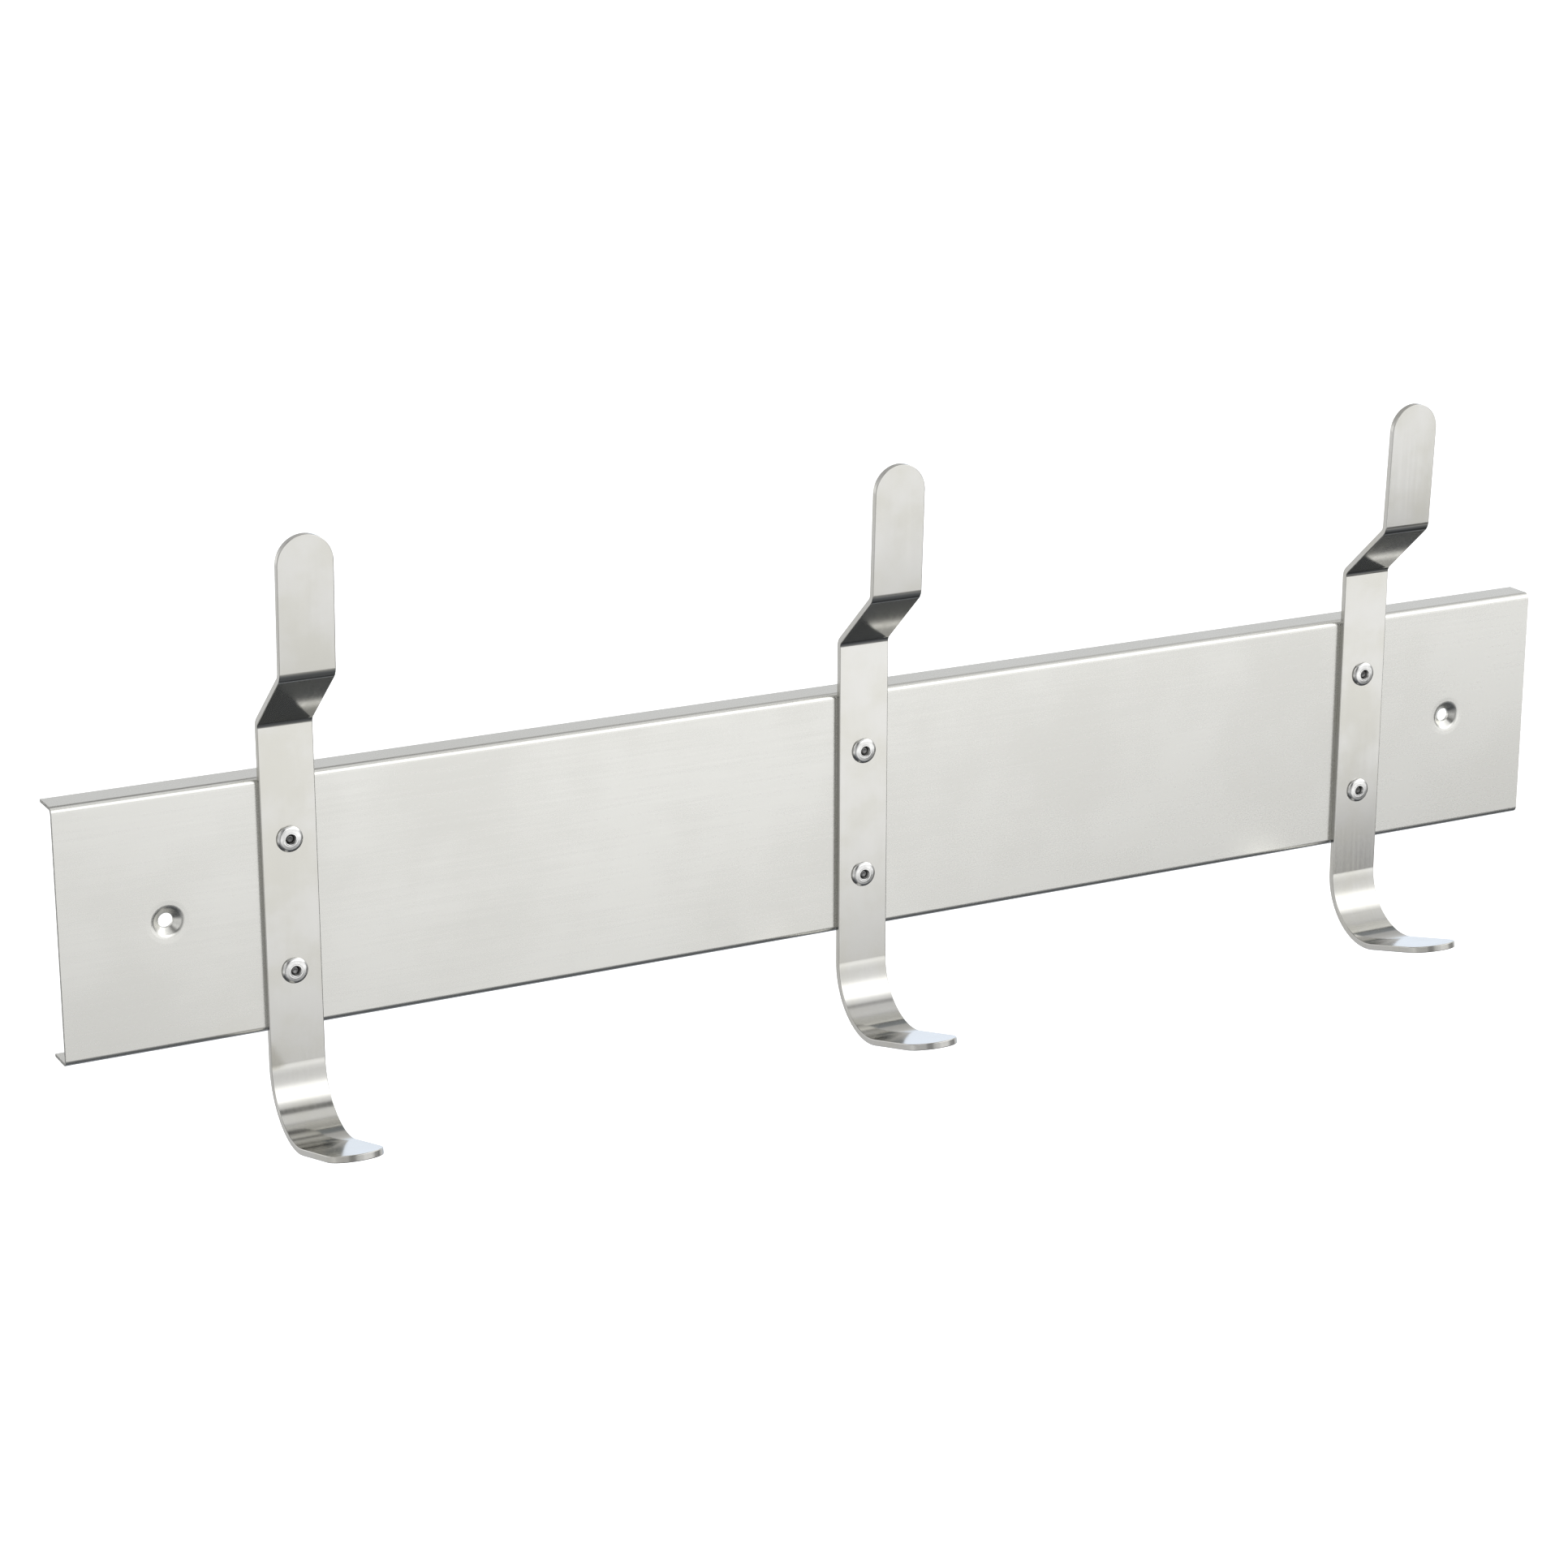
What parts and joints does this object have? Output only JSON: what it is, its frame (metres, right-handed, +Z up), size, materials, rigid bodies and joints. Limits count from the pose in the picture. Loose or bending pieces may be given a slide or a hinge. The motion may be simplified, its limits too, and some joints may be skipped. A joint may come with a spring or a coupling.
{
  "type": "wall hook rack",
  "caption": "Wall rack of bent flat-strip hat and coat hooks, each riveted to a long folded sheet-metal back plate with dimpled screw holes.",
  "frame": {"origin": "on the wall plane, in line with the middle between the two screw holes", "axes": "+X along the rack to the right as seen from the front, +Y into the wall, so that the rack's front faces -Y, and +Z up"},
  "size_m": [0.6096, 0.0752, 0.2175],
  "materials": {
    "plate_steel": "satin stainless sheet with a very fine grain along its length",
    "hook_steel": "satin stainless strip, faintly mottled",
    "rivet_metal": "smooth, semi-bright blind rivet",
    "mandrel_steel": "drawn steel pin with a dull broken end"
  },
  "bodies": {
    "root": {"back_plate": "plate_steel", "hook_left": "hook_steel", "hook_middle": "hook_steel", "hook_right": "hook_steel", "rivet_left_upper": "rivet_metal", "rivet_left_lower": "rivet_metal", "rivet_middle_upper": "rivet_metal", "rivet_middle_lower": "rivet_metal", "rivet_right_upper": "rivet_metal", "rivet_right_lower": "rivet_metal", "mandrel_left_upper": "mandrel_steel", "mandrel_left_lower": "mandrel_steel", "mandrel_middle_upper": "mandrel_steel", "mandrel_middle_lower": "mandrel_steel", "mandrel_right_upper": "mandrel_steel", "mandrel_right_lower": "mandrel_steel"}
  },
  "joints": []
}
